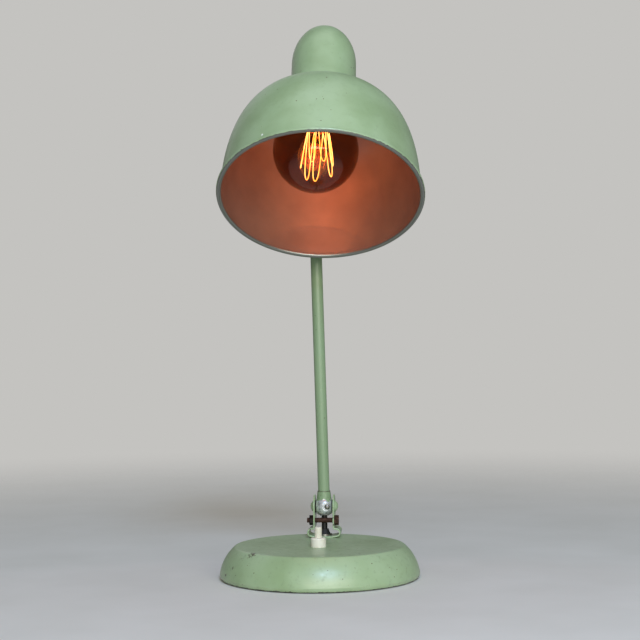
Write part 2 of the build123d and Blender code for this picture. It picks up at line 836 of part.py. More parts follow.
def make_cap_tip():
    low = (0, 0, cap_bottom + cap_length + cap_insulator)
    return domed(low, (0, 0, low[2] + tip_height), tip_radius)


def make_filament_mount():
    """Glass rod from the bulb's neck with a pressed foot and two rings of hooks."""
    top = cap_bottom + mount_in_cap
    stem = rod((0, 0, mount_bottom), (0, 0, top), mount_radius)
    stem += cone((0, 0, top - mount_foot), (0, 0, top), mount_radius, bulb_neck_radius - glass_wall - mount_gap)
    return stem + Pos(0, 0, mount_bottom) * Sphere(mount_ball)


def make_filament():
    """Squirrel-cage filament: strands that run down and up round the mount."""
    points = []
    for i in range(2 * loop_count):
        turn = 2 * pi * i / (2 * loop_count)
        low = i % 2
        spread = loop_spread if low else hook_spread
        height = loop_bottom if low else hook_height
        points.append((spread * cos(turn), spread * sin(turn), height))
    line = FilletPolyline(*points, radius=strand_bend)
    section = Plane(origin=line @ 0, z_dir=line % 0) * Circle(filament_radius)
    return sweep(section, path=line)


bracket = make_joint_bracket()

base_nodes = {
    "base_shell": make_base_shell(),
    "base_weight": make_base_weight(),
    "base_cover": make_base_cover(),
    "base_pad": make_base_pad(),
    "base_studs": make_base_studs(),
    "stud_nuts": make_stud_nuts(),
    "inlet_bush": make_inlet_bush(),
    "switch_body": make_switch_body(),
    "switch_collar": make_switch_collar(),
    "switch_plunger": make_switch_plunger(),
    "switch_spring": make_switch_spring(),
    "joint_bracket": bracket,
    "bracket_pipe": make_bracket_pipe(),
    "bracket_nut": make_bracket_nut(),
    "lead_bush": make_lead_bush(),
    "foot_lead": make_foot_lead(),
    "tie_bolt": make_tie_bolt(),
    "tie_nut": make_tie_nut(),
    "pivot_screws": make_pivot_screws(bracket),
    "pivot_washers": make_pivot_washers(bracket),
}
arm_nodes = {
    "lower_knuckle": make_lower_knuckle(),
    "knuckle_plug": make_knuckle_plug(),
    "arm_tube": make_arm_tube(),
    "arm_lead": make_arm_lead(),
}
upper_nodes = {
    "arm_disc": make_arm_disc(),
    "friction_ring": make_friction_ring(),
    "pivot_bolt": make_pivot_bolt(),
    "wing_washer": make_wing_washer(),
    "wing_nut": make_wing_nut(),
}
shade_nodes = {
    "shade_disc": make_shade_disc(),
    "neck_saddle": make_neck_saddle(),
    "stem_nut": make_stem_nut(),
    "holder_bridge": make_holder_bridge(),
    "shade_lead": make_shade_lead(),
    "shade_dome": make_shade_dome(),
    "rim_wire": make_rim_wire(),
    "neck_cup": make_neck_cup(),
    "neck_screws": make_neck_screws(),
}
lamp_nodes = {
    "lampholder": make_lampholder(),
    "holder_screw": make_holder_screw(),
    "screw_shell": make_screw_shell(),
    "centre_contact": make_centre_contact(),
    "bulb_glass": make_bulb_glass(),
    "bulb_cap": make_bulb_cap(),
    "cap_insulator": make_cap_insulator(),
    "cap_tip": make_cap_tip(),
    "filament_mount": make_filament_mount(),
    "filament": make_filament(),
}

for place, nodes in ((Pos(0, 0, 0), base_nodes), (skewed, arm_nodes), (upper, upper_nodes),
                     (shade, shade_nodes), (lamp, lamp_nodes)):
    for name, shape in nodes.items():
        keep(name, place * shape)

print("lower pivot", skewed.position, "tilt", skewed.orientation)
print("upper pivot", (upper * Pos(0, 0, 0)).position)
print("shade rim centre", shade.position)
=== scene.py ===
import json
import bmesh
import bpy
import numpy as np
from math import acos, hypot, pi, radians, sqrt
from mathutils import Matrix, Vector


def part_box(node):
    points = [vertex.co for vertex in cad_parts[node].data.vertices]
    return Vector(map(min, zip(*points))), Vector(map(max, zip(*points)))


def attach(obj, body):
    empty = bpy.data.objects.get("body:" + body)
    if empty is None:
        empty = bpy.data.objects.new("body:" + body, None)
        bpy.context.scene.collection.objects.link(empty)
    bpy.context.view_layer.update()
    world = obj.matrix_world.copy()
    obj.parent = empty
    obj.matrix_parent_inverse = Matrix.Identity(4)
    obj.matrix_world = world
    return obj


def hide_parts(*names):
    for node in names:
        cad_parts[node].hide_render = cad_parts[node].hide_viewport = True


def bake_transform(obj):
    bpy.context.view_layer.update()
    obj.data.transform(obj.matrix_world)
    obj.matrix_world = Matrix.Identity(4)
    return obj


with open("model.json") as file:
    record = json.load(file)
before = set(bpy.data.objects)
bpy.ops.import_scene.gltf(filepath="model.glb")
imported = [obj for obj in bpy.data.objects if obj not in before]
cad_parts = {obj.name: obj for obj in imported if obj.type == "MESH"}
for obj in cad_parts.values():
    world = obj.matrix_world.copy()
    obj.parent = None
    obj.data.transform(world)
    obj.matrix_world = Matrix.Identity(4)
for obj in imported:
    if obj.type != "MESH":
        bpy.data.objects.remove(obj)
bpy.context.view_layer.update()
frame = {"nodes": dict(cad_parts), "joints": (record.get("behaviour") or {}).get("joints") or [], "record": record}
mm = 0.001
print("frame loaded:", len(frame["nodes"]), "nodes")


# small helpers that every piece uses

def toLinear(hexColour):
    # sRGB to linear light: a straight part near black, then the 2.4 power curve
    srgb = np.array([int(hexColour[i:i + 2], 16) for i in (1, 3, 5)]) / 255
    linear = np.where(srgb <= 0.04045, srgb / 12.92, ((srgb + 0.055) / 1.055) ** 2.4)
    return (*linear.tolist(), 1.0)


def addNode(tree, kind, values=None, links=None, stops=None, **settings):
    # adds one node with its settings, its sockets' values, its links and, on a colour ramp, its stops
    node = tree.nodes.new("ShaderNode" + kind)
    for name, value in settings.items():
        setattr(node, name, value)
    for socket, value in (values or {}).items():
        node.inputs[socket].default_value = value
    for socket, source in (links or {}).items():
        source = source.outputs[0] if isinstance(source, bpy.types.Node) else source
        tree.links.new(source, node.inputs[socket])
    if stops:
        ramp = node.color_ramp.elements
        while len(ramp) < len(stops):
            ramp.new(1.0)
        for element, (place, colour) in zip(ramp, stops):
            element.position = place
            element.color = toLinear(colour)
    return node


def perMetre(millimetres):
    # texture scale whose features are that many millimetres across
    return 1 / (millimetres * mm)


def emptyMaterial(name):
    # a material that knows each point's place and has no surface yet
    material = bpy.data.materials.new(name)
    material.use_nodes = True
    tree = material.node_tree
    tree.nodes.clear()
    return material, tree, addNode(tree, "TexCoord").outputs["Object"]


def startMaterial(name):
    material, tree, where = emptyMaterial(name)
    shader = addNode(tree, "BsdfPrincipled")
    addNode(tree, "OutputMaterial", links={"Surface": shader})
    return material, tree, where, shader


sharpAngle = radians(38)     # edges folded more than this stay crisp


def makeSurface(name, grid, wrapRows=False, wrapColumns=False, values=None, bands=None):
    # a grid of points becomes quads; wrapped directions close on themselves, and rows that
    # shrink to a point are merged into a pole; bands gives each column of quads its material
    rows, columns = grid.shape[:2]
    i = np.arange(rows if wrapRows else rows - 1)[:, None]
    j = np.arange(columns if wrapColumns else columns - 1)[None, :]
    nextRow, nextColumn = (i + 1) % rows * columns, (j + 1) % columns
    corners = (i * columns + j, i * columns + nextColumn, nextRow + nextColumn, nextRow + j)
    quads = np.stack(corners, axis=-1).reshape(-1, 4)
    mesh = bpy.data.meshes.new(name)
    mesh.from_pydata(grid.reshape(-1, 3).tolist(), [], quads.tolist())
    for label, amounts in (values or {}).items():
        layer = mesh.attributes.new(label, "FLOAT", "POINT")
        layer.data.foreach_set("value", np.broadcast_to(amounts, (rows, columns)).ravel().astype(np.float32))
    if bands is not None:
        indices = np.broadcast_to(bands[: j.size], (i.size, j.size)).ravel().astype(np.int32)
        mesh.polygons.foreach_set("material_index", indices)
    work = bmesh.new()
    work.from_mesh(mesh)
    bmesh.ops.remove_doubles(work, verts=work.verts, dist=1e-7)
    bmesh.ops.recalc_face_normals(work, faces=work.faces)
    work.to_mesh(mesh)
    work.free()
    mesh.polygons.foreach_set("use_smooth", np.ones(len(mesh.polygons), bool))
    mesh.set_sharp_from_angle(angle=sharpAngle)
    made = bpy.data.objects.new(name, mesh)
    bpy.context.scene.collection.objects.link(made)
    return made


def spinGrid(profile, steps):
    # each (radius, height) point goes round the axis: x = radius cos, y = radius sin, z = height
    turn = np.linspace(0, 2 * pi, steps, endpoint=False)[:, None]
    radius, height = profile[:, 0], profile[:, 1]
    return np.stack([radius * np.cos(turn), radius * np.sin(turn), height + 0 * turn], axis=-1)


def tubeGrid(path, radius, sides, reference):
    # a circle is carried along the path, square to it; reference is a direction that the path
    # never runs along, and a row shrunk to a point closes each end
    along = np.gradient(path, axis=0)
    along /= np.linalg.norm(along, axis=1, keepdims=True)
    across = np.cross(along, reference)
    across /= np.linalg.norm(across, axis=1, keepdims=True)
    upward = np.cross(across, along)
    turn = np.linspace(0, 2 * pi, sides, endpoint=False)[None, :, None]
    rings = path[:, None] + radius * (np.cos(turn) * across[:, None] + np.sin(turn) * upward[:, None])
    ends = [np.repeat(path[end][None, None], sides, axis=1) for end in (0, -1)]
    return np.concatenate([ends[0], rings, ends[1]])


def placed(grid, origin, axes):
    # from a piece's own axes, in millimetres, to the lamp's frame, in metres
    return np.asarray(origin) + (grid * mm) @ np.asarray(axes)


def roundedPath(corners, radii, stepsPerBend=9):
    # straight runs joined by arcs: each arc is centred on its corner's bisector, at the
    # distance where it touches both runs
    corners = np.asarray(corners, float)
    path = [corners[0]]
    for before, corner, after, radius in zip(corners, corners[1:], corners[2:], radii):
        first = (before - corner) / np.linalg.norm(before - corner)
        last = (after - corner) / np.linalg.norm(after - corner)
        half = 0.5 * acos(np.clip(first @ last, -1, 1))
        bisector = (first + last) / np.linalg.norm(first + last)
        centre = corner + bisector * radius / np.sin(half)
        start = corner + first * radius / np.tan(half) - centre
        end = corner + last * radius / np.tan(half) - centre
        sweep = pi - 2 * half
        share = np.linspace(0, 1, stepsPerBend)[:, None]
        arc = np.sin((1 - share) * sweep) * start + np.sin(share * sweep) * end
        path.extend(centre + arc / np.sin(sweep))
    path.append(corners[-1])
    return np.array(path)


def finishPiece(piece, materials, body, slotName, *nodes):
    for material in materials:
        piece.data.materials.append(material)
    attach(piece, body)
    if nodes:
        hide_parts(*nodes)
    return piece


# places, all read from the frame

def middle(node):
    low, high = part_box(node)
    return np.array((low + high) / 2)


joints = {joint["name"]: joint for joint in frame["joints"]}
lowerPivot = np.array(joints["arm_tilt"]["pos_m"])
upperPivot = np.array(joints["shade_tilt"]["pos_m"])
hingeAxis = np.array(joints["shade_tilt"]["axis"])
hingeAxis /= np.linalg.norm(hingeAxis)
armAxis = (upperPivot - lowerPivot) / np.linalg.norm(upperPivot - lowerPivot)


def shadeDirections():
    # the rim wire is a ring, so the direction in which its points spread least is the shade's axis
    ring = np.empty(len(frame["nodes"]["rim_wire"].data.vertices) * 3)
    frame["nodes"]["rim_wire"].data.vertices.foreach_get("co", ring)
    ring = ring.reshape(-1, 3)
    axis = np.linalg.svd(ring - ring.mean(axis=0), full_matrices=False)[2][2]
    axis *= np.sign(axis[2])
    side = hingeAxis - axis * (hingeAxis @ axis)
    side /= np.linalg.norm(side)
    return np.array([side, np.cross(axis, side), axis])


rimCentre = middle("rim_wire")
shadeAxes = shadeDirections()

# the globe touches the glass's box on the left, right, front and underside
glassLow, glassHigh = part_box("bulb_glass")
globeRadius = (glassHigh.x - glassLow.x) / 2
globeCentre = np.array([glassLow.x, glassLow.y, glassLow.z]) + globeRadius
bulbAxis = middle("screw_shell") - globeCentre
bulbAxis /= np.linalg.norm(bulbAxis)
bulbSide = np.cross(shadeAxes[1], bulbAxis)
bulbSide /= np.linalg.norm(bulbSide)
bulbAxes = np.array([bulbSide, np.cross(bulbAxis, bulbSide), bulbAxis])
print("shade axis", shadeAxes[2].round(4), "rim centre", rimCentre.round(4))
print("bulb axis", bulbAxis.round(4), "globe centre", globeCentre.round(4), "radius", round(globeRadius, 4))

# stage: camera, light and floor

# place in metres, turns in degrees, lens in millimetres
camera = {"place": (0.1448, -1.6436, 0.264), "yaw": 4.93, "pitch": -0.23, "roll": 0.68, "lens": 92.8,
          "near": 0.05, "far": 60.0}


def makeCamera():
    data = bpy.data.cameras.new("camera")
    data.lens = camera["lens"]
    data.clip_start, data.clip_end = camera["near"], camera["far"]
    lens = bpy.data.objects.new("camera", data)
    bpy.context.scene.collection.objects.link(lens)
    turned = Matrix.Rotation(radians(camera["yaw"]), 4, "Z")
    tipped = Matrix.Rotation(radians(90 + camera["pitch"]), 4, "X")
    rolled = Matrix.Rotation(radians(-camera["roll"]), 4, "Z")
    lens.matrix_world = Matrix.Translation(camera["place"]) @ turned @ tipped @ rolled
    bpy.context.scene.camera = lens


softLights = {   # place, aim, width and height in metres, power in watts, colour
    "frontFill": ((0.7, -2.65, 0.9), (0, 0, 0.25), 2.6, 1.1, 46, "#fffaee"),
    "frontWindow": ((0.55, -2.1, 1.9), (0, 0, 0.30), 0.62, 0.62, 36, "#bcd9ff"),
    "topPanel": ((0.1, -0.2, 2.3), (0, 0, 0.2), 1.8, 1.8, 7, "#fff9f0"),
    "backPanel": ((-1.0, 2.6, 1.7), (0, 0, 0.3), 2.0, 1.6, 4, "#ffffff"),
}


room = {"light": "#d9d9d6", "lightStrength": 0.2, "wall": "#c4c3c0", "wallStrength": 1.0}


def makeLights():
    for name, (place, aim, width, height, power, colour) in softLights.items():
        data = bpy.data.lights.new(name, "AREA")
        data.shape = "RECTANGLE"
        data.size, data.size_y = width, height
        data.energy = power
        data.color = toLinear(colour)[:3]
        panel = bpy.data.objects.new(name, data)
        facing = (Vector(aim) - Vector(place)).to_track_quat("-Z", "Y")
        panel.matrix_world = Matrix.Translation(place) @ facing.to_matrix().to_4x4()
        bpy.context.scene.collection.objects.link(panel)
    world = bpy.data.worlds.new("softRoom")
    world.use_nodes = True
    tree = world.node_tree
    glare = tree.nodes["Background"]
    glare.inputs["Color"].default_value = toLinear(room["light"])
    glare.inputs["Strength"].default_value = room["lightStrength"]
    # what shows behind the lamp is a paler wall than the one that lights it
    wall = addNode(tree, "Background", {"Color": toLinear(room["wall"]), "Strength": room["wallStrength"]})
    seen = addNode(tree, "LightPath").outputs["Is Camera Ray"]
    both = addNode(tree, "MixShader", links={0: seen, 1: glare, 2: wall})
    tree.links.new(both.outputs[0], tree.nodes["World Output"].inputs["Surface"])
    bpy.context.scene.world = world
    bpy.context.scene.view_settings.view_transform = "Standard"


# radius and fade in metres, patch in millimetres
floor = {"radius": 3.5, "fadeFrom": 0.35, "fadeTo": 1.6, "colour": "#e9e7e2", "shade": "#e2e0da",
         "patch": 120.0, "rough": 0.75, "rings": 10, "around": 64}


def makeFloor():
    # painted board: matt, faintly uneven, and it fades out before its edge so that no horizon shows
    material, tree, where, shader = startMaterial("matt_floor_paint")
    grain = addNode(tree, "TexNoise", {"Scale": perMetre(floor["patch"]), "Detail": 3}, {"Vector": where})
    tone = addNode(tree, "ValToRGB", links={"Fac": grain},
                   stops=[(0.3, floor["shade"]), (0.7, floor["colour"])])
    tree.links.new(tone.outputs[0], shader.inputs["Base Color"])
    shader.inputs["Roughness"].default_value = floor["rough"]
    away = addNode(tree, "VectorMath", links={0: where}, operation="LENGTH")
    fade = addNode(tree, "MapRange", {1: floor["fadeFrom"], 2: floor["fadeTo"]}, {0: away.outputs["Value"]},
                   interpolation_type="SMOOTHSTEP")
    clear = addNode(tree, "BsdfTransparent")
    both = addNode(tree, "MixShader", links={0: fade, 1: shader, 2: clear})
    tree.links.new(both.outputs[0], tree.nodes["Material Output"].inputs["Surface"])
    rings = np.linspace(0, floor["radius"], floor["rings"])
    disc = spinGrid(np.stack([rings, 0 * rings], axis=1), floor["around"])
    board = makeSurface("floor", disc, wrapRows=True)
    board.data.materials.append(material)


makeCamera()
makeLights()
makeFloor()
print("stage made")

# enamel, whole and worn

enamel = {
    "green": "#a1b98f", "pale": "#a9c099", "deep": "#95ad81", "grime": "#6f7f63",
    "primer": "#43382c", "metal": "#92948d", "pit": "#5b4a37", "white": "#eef2ea",
    "patch": 46.0, "mottle": 5.0, "peel": 1.3, "tear": 4.0, "speck": 6.5, "fleck": 1.1,     # millimetres
    "speckShare": 0.36, "smallPit": 0.045, "largePit": 0.11,     # pits as parts of a speck's cell
    "rough": 0.34, "gloss": 0.75, "peelStrength": 0.12, "peelDepth": 0.1,
    "tearStrength": 0.6, "tearDepth": 0.12, "tornWidth": 0.04,
    "wearWeight": 0.62, "primerFrom": 0.86, "metalFrom": 0.93,
}


def makeEnamel(name, wear=None, streak=1.0, dirt=0.15, specks=enamel["speckShare"],
               shades=(enamel["deep"], enamel["green"], enamel["pale"]), fleck=None):
    # stove enamel on sheet steel: a hard semi-gloss skin with faint orange peel; age gives it
    # small brown pits, a little dirt, and bare grey metal with a dark border on its edges
    material, tree, where, shader = startMaterial(name)
    along = addNode(tree, "Mapping", {"Scale": (1, 1, streak)}, {"Vector": where})
    patch = addNode(tree, "TexNoise", {"Scale": perMetre(enamel["patch"]), "Detail": 3}, {"Vector": along})
    tone = addNode(tree, "ValToRGB", links={"Fac": patch}, stops=list(zip((0.32, 0.5, 0.68), shades)))
    mottle = addNode(tree, "TexNoise", {"Scale": perMetre(enamel["mottle"]), "Detail": 5, "Roughness": 0.65},
                     {"Vector": along})
    soiled = addNode(tree, "MapRange", {1: 0.52, 2: 0.74, 4: dirt}, {0: mottle},
                     interpolation_type="SMOOTHSTEP")
    colour = addNode(tree, "Mix", {7: toLinear(enamel["grime"])}, {0: soiled, 6: tone}, data_type="RGBA")
    # pits under a millimetre wide, in some cells of a scattered pattern, and more of them in some places
    cells = addNode(tree, "TexVoronoi", {"Scale": perMetre(enamel["speck"])}, {"Vector": where})
    chosen = addNode(tree, "SeparateColor", links={"Color": cells.outputs["Color"]})
    share = addNode(tree, "MapRange", {1: 0.4, 2: 0.56, 3: 0.2 * specks, 4: 2.4 * specks}, {0: patch})
    picked = addNode(tree, "Math", links={0: chosen.outputs["Red"], 1: share}, operation="LESS_THAN")
    size = addNode(tree, "MapRange", {1: 0, 2: 1, 3: enamel["smallPit"], 4: enamel["largePit"]},
                   {0: chosen.outputs["Green"]})
    inside = addNode(tree, "Math", links={0: cells.outputs["Distance"], 1: size}, operation="LESS_THAN")
    pit = addNode(tree, "Math", links={0: picked, 1: inside}, operation="MULTIPLY")
    colour = addNode(tree, "Mix", {7: toLinear(enamel["pit"])}, {0: pit, 6: colour.outputs[2]},
                     data_type="RGBA")
    if fleck is not None:
        gap = addNode(tree, "VectorMath", {1: fleck}, {0: where}, operation="DISTANCE")
        near = addNode(tree, "Math", {1: enamel["fleck"] * mm}, {0: gap.outputs["Value"]},
                       operation="LESS_THAN")
        colour = addNode(tree, "Mix", {7: toLinear(enamel["white"])}, {0: near, 6: colour.outputs[2]},
                         data_type="RGBA")
    bare = None
    if wear:
        ragged = addNode(tree, "TexNoise", {"Scale": perMetre(enamel["tear"]), "Detail": 6, "Roughness": 0.7},
                         {"Vector": where})
        amount = addNode(tree, "Math", {1: enamel["wearWeight"]}, {0: wear(tree, where)},
                         operation="MULTIPLY")
        torn = addNode(tree, "Math", links={0: amount, 1: ragged}, operation="ADD")
        primer, metal, width = enamel["primerFrom"], enamel["metalFrom"], enamel["tornWidth"]
        border = addNode(tree, "MapRange", {1: primer, 2: primer + width}, {0: torn})
        bare = addNode(tree, "MapRange", {1: metal, 2: metal + width}, {0: torn})
        colour = addNode(tree, "Mix", {7: toLinear(enamel["primer"])}, {0: border, 6: colour.outputs[2]},
                         data_type="RGBA")
        colour = addNode(tree, "Mix", {7: toLinear(enamel["metal"])}, {0: bare, 6: colour.outputs[2]},
                         data_type="RGBA")
        tree.links.new(bare.outputs[0], shader.inputs["Metallic"])
    tree.links.new(colour.outputs[2], shader.inputs["Base Color"])
    gloss = addNode(tree, "MapRange", {1: 0.3, 2: 0.7, 3: enamel["rough"] - 0.06, 4: enamel["rough"] + 0.1},
                    {0: mottle})
    shader.inputs["Specular IOR Level"].default_value = enamel["gloss"]
    tree.links.new(gloss.outputs[0], shader.inputs["Roughness"])
    peel = addNode(tree, "TexNoise", {"Scale": perMetre(enamel["peel"]), "Detail": 1}, {"Vector": where})
    skin = addNode(tree, "Bump", {"Strength": enamel["peelStrength"], "Distance": enamel["peelDepth"] * mm},
                   {"Height": peel})
    if bare:
        step = {"Strength": enamel["tearStrength"], "Distance": enamel["tearDepth"] * mm}
        skin = addNode(tree, "Bump", step, {"Height": bare, "Normal": skin}, invert=True)
    tree.links.new(skin.outputs[0], shader.inputs["Normal"])
    return material


def wornEdge(tree, _):
    # the piece's own edge attribute: 1 on an edge that hands and tables rub
    return addNode(tree, "Attribute", attribute_name="edge_wear").outputs["Fac"]


baseWear = {
    "lowerEdge": 3.5, "crease": 84.0, "creaseBand": 1.8, "creaseWear": 0.42,
    # places knocked harder than the rest: x, y, z and size in millimetres, then how hard
    "knocks": ((-60, -60, 32, 15, 0.62), (-72, -57, 26, 6, 0.7), (-80, -53, 17, 5, 0.74),
               (-88, -44, 9, 6, 0.74), (-76, -62, 11, 4, 0.74), (-29, -80, 31, 4, 0.7),
               (22, -84, 29, 3, 0.74), (44, -60, 32, 5, 0.62)),
}


def baseEdges(tree, where):
    # the foot is rubbed all round, the crease a little, and a few knocked places most
    parts = addNode(tree, "SeparateXYZ", links={0: where})
    foot = addNode(tree, "MapRange", {1: baseWear["lowerEdge"] * mm, 2: 0, 3: 0, 4: 1},
                   {0: parts.outputs["Z"]})
    flat = addNode(tree, "VectorMath", {1: (1, 1, 0)}, {0: where}, operation="MULTIPLY")
    radius = addNode(tree, "VectorMath", links={0: flat}, operation="LENGTH")
    off = addNode(tree, "Math", {1: baseWear["crease"] * mm}, {0: radius.outputs["Value"]},
                  operation="SUBTRACT")
    distance = addNode(tree, "Math", links={0: off}, operation="ABSOLUTE")
    ring = addNode(tree, "MapRange", {1: baseWear["creaseBand"] * mm, 2: 0, 3: 0, 4: baseWear["creaseWear"]},
                   {0: distance})
    worst = addNode(tree, "Math", links={0: foot, 1: ring}, operation="MAXIMUM")
    for x, y, z, size, hard in baseWear["knocks"]:
        gap = addNode(tree, "VectorMath", {1: (x * mm, y * mm, z * mm)}, {0: where}, operation="DISTANCE")
        knock = addNode(tree, "MapRange", {1: size * mm, 2: 0, 3: 0, 4: hard}, {0: gap.outputs["Value"]},
                        interpolation_type="SMOOTHSTEP")
        worst = addNode(tree, "Math", links={0: worst, 1: knock}, operation="MAXIMUM")
    return worst.outputs[0]


whiteSpot = (-46.5, -84.2, 7.5)     # a splash of white paint on the dome, in the shade's axes, millimetres
armShadowGreens = ("#7c936d", "#869f78", "#8fa881")     # the tube's darker greens are painted shadow of the shade falling on the arm

plainEnamel = makeEnamel("stove_enamel")
edgedEnamel = makeEnamel("stove_enamel_worn_edges", wornEdge)
spotPlace = placed(np.array(whiteSpot), rimCentre, shadeAxes)
domeEnamel = makeEnamel("stove_enamel_dome", wornEdge, fleck=spotPlace)
baseEnamel = makeEnamel("stove_enamel_base", baseEdges, dirt=0.3)
# the arm's enamel takes the darker greens above: painted shadow
armEnamel = makeEnamel("stove_enamel_arm_shadow_painted", streak=0.12, dirt=0.22, specks=0.12, shades=armShadowGreens)
print("enamel made")

# metals, plastics and the other finishes

metals = {   # colour, darker patches, share of dark, roughness, grain in millimetres, bump
    "cast_aluminium_worn": ("#c9ccce", "#8a8f90", 0.55, 0.30, 2.2, 0.25),
    "zinc_plated_steel": ("#a9a7a2", "#6f6a60", 0.5, 0.38, 1.6, 0.12),
    "brown_rusted_steel": ("#5a4034", "#33231c", 0.5, 0.72, 1.1, 0.5),
    "blackened_steel": ("#3b3634", "#241f1d", 0.5, 0.5, 1.3, 0.3),
    "lamp_brass_satin": ("#c9a765", "#94733c", 0.5, 0.32, 1.8, 0.1),
    "grey_cast_iron": ("#4a4947", "#31302e", 0.5, 0.68, 2.5, 0.6),
}


def makeMetal(name, bright, dark, share, rough, grain, bump):
    # worn metal: a bright ground with duller oxide patches that follow the grain of the casting or plating
    material, tree, where, shader = startMaterial(name)
    patch = addNode(tree, "TexNoise", {"Scale": perMetre(grain * 3), "Detail": 6, "Roughness": 0.6},
                    {"Vector": where})
    tone = addNode(tree, "ValToRGB", links={"Fac": patch},
                   stops=[(share - 0.15, dark), (share + 0.12, bright)])
    tree.links.new(tone.outputs[0], shader.inputs["Base Color"])
    dull = addNode(tree, "MapRange", {1: 0.35, 2: 0.65, 3: rough + 0.15, 4: rough}, {0: patch})
    tree.links.new(dull.outputs[0], shader.inputs["Roughness"])
    shader.inputs["Metallic"].default_value = 1.0 if rough < 0.6 else 0.6
    pits = addNode(tree, "TexNoise", {"Scale": perMetre(grain), "Detail": 4}, {"Vector": where})
    skin = addNode(tree, "Bump", {"Strength": bump, "Distance": 0.15 * mm}, {"Height": pits})
    tree.links.new(skin.outputs[0], shader.inputs["Normal"])
    return material


mouldings = {   # colour, second colour, roughness, grain in millimetres, bump
    "ivory_urea_moulding": ("#f0ecdc", "#ddd5bd", 0.30, 14.0, 0.04),
    "brown_phenolic_moulding": ("#3a2017", "#1f120c", 0.30, 6.0, 0.05),
    "black_rubber_moulded": ("#121212", "#1d1c1a", 0.62, 1.6, 0.25),
    "grey_pad_rubber": ("#2c2b29", "#3a3936", 0.8, 2.0, 0.4),
    "pressed_black_fibre": ("#231f1b", "#14120f", 0.8, 0.9, 0.5),
    "black_cap_glass": ("#0e0e12", "#1a1a20", 0.12, 4.0, 0.05),
    "black_pvc_sheath": ("#0d0c0d", "#191718", 0.38, 3.0, 0.10),
}


def makeMoulding(name, ground, cloud, rough, grain, bump):
    # moulded material: one body colour, faintly clouded, with the mould's fine texture
    material, tree, where, shader = startMaterial(name)
    clouds = addNode(tree, "TexNoise", {"Scale": perMetre(grain), "Detail": 3}, {"Vector": where})
    tone = addNode(tree, "ValToRGB", links={"Fac": clouds}, stops=[(0.42, ground), (0.72, cloud)])
    tree.links.new(tone.outputs[0], shader.inputs["Base Color"])
    worn = addNode(tree, "MapRange", {1: 0.3, 2: 0.7, 3: rough, 4: rough + 0.12}, {0: clouds})
    tree.links.new(worn.outputs[0], shader.inputs["Roughness"])
    fine = addNode(tree, "TexNoise", {"Scale": perMetre(0.25 * grain), "Detail": 2}, {"Vector": where})
    skin = addNode(tree, "Bump", {"Strength": bump, "Distance": 0.1 * mm}, {"Height": fine})
    tree.links.new(skin.outputs[0], shader.inputs["Normal"])
    return material


finishes = {name: makeMetal(name, *look) for name, look in metals.items()}
finishes.update({name: makeMoulding(name, *look) for name, look in mouldings.items()})

knuckle = {   # heights above the pivot and pattern sizes in millimetres
    "paintLine": 6.0, "raggedness": 2.5, "jointLine": 15.2, "tear": 7.0, "stain": 3.0,
    "metal": ((0.35, "#989d9c"), (0.45, "#cdd1d1"), (0.6, "#e6e9e9")),
    # the paint stops are the arm's darker greens: painted shadow, as on the tube
    "paint": ((0.3, "#7c936d"), (0.5, "#8aa37c")),
}


def makeKnuckleFinish():
    # cast aluminium ball: its collar and crown still carry the arm's enamel, in the arm's greens darkened as
    # painted shadow; the rest is rubbed bright
    material, tree, where, shader = startMaterial("half_painted_casting")
    parts = addNode(tree, "SeparateXYZ", links={0: where})
    ragged = addNode(tree, "TexNoise", {"Scale": perMetre(knuckle["tear"]), "Detail": 4, "Roughness": 0.55},
                     {"Vector": where})
    swing = knuckle["raggedness"] * mm
    shift = addNode(tree, "MapRange", {1: 0.3, 2: 0.7, 3: -swing, 4: swing}, {0: ragged})
    height = addNode(tree, "Math", links={0: parts.outputs["Z"], 1: shift}, operation="ADD")
    line = float(lowerPivot[2]) + knuckle["paintLine"] * mm
    painted = addNode(tree, "MapRange", {1: line, 2: line + 0.8 * mm}, {0: height})
    stain = addNode(tree, "TexNoise", {"Scale": perMetre(knuckle["stain"]), "Detail": 5}, {"Vector": where})
    metal = addNode(tree, "ValToRGB", links={"Fac": stain}, stops=knuckle["metal"])
    paint = addNode(tree, "ValToRGB", links={"Fac": stain}, stops=knuckle["paint"])
    colour = addNode(tree, "Mix", links={0: painted, 6: metal, 7: paint}, data_type="RGBA")
    # dirt sits in the joint between the collar and the tube
    joint = float(lowerPivot[2]) + knuckle["jointLine"] * mm
    dirty = addNode(tree, "MapRange", {1: joint, 2: joint + 0.3 * mm, 4: 0.8}, {0: parts.outputs["Z"]})
    colour = addNode(tree, "Mix", {7: toLinear(enamel["primer"])}, {0: dirty, 6: colour.outputs[2]},
                     data_type="RGBA")
    tree.links.new(colour.outputs[2], shader.inputs["Base Color"])
    shiny = addNode(tree, "MapRange", {3: 0.55, 4: 0.0}, {0: painted})
    tree.links.new(shiny.outputs[0], shader.inputs["Metallic"])
    rough = addNode(tree, "MapRange", {1: 0.3, 2: 0.7, 3: 0.42, 4: 0.28}, {0: stain})
    tree.links.new(rough.outputs[0], shader.inputs["Roughness"])
    skin = addNode(tree, "Bump", {"Strength": 0.35, "Distance": 0.15 * mm}, {"Height": ragged})
    tree.links.new(skin.outputs[0], shader.inputs["Normal"])
    return material


# the reflector's brown-grey stops are painted shade inside the dome and painted glow of the bulb
reflector = {"paint": ((0.35, "#7d6b62"), (0.65, "#8a776c")), "cloud": 38.0, "grain": 1.2, "metallic": 0.45,
             "smooth": 0.40, "rough": 0.48}


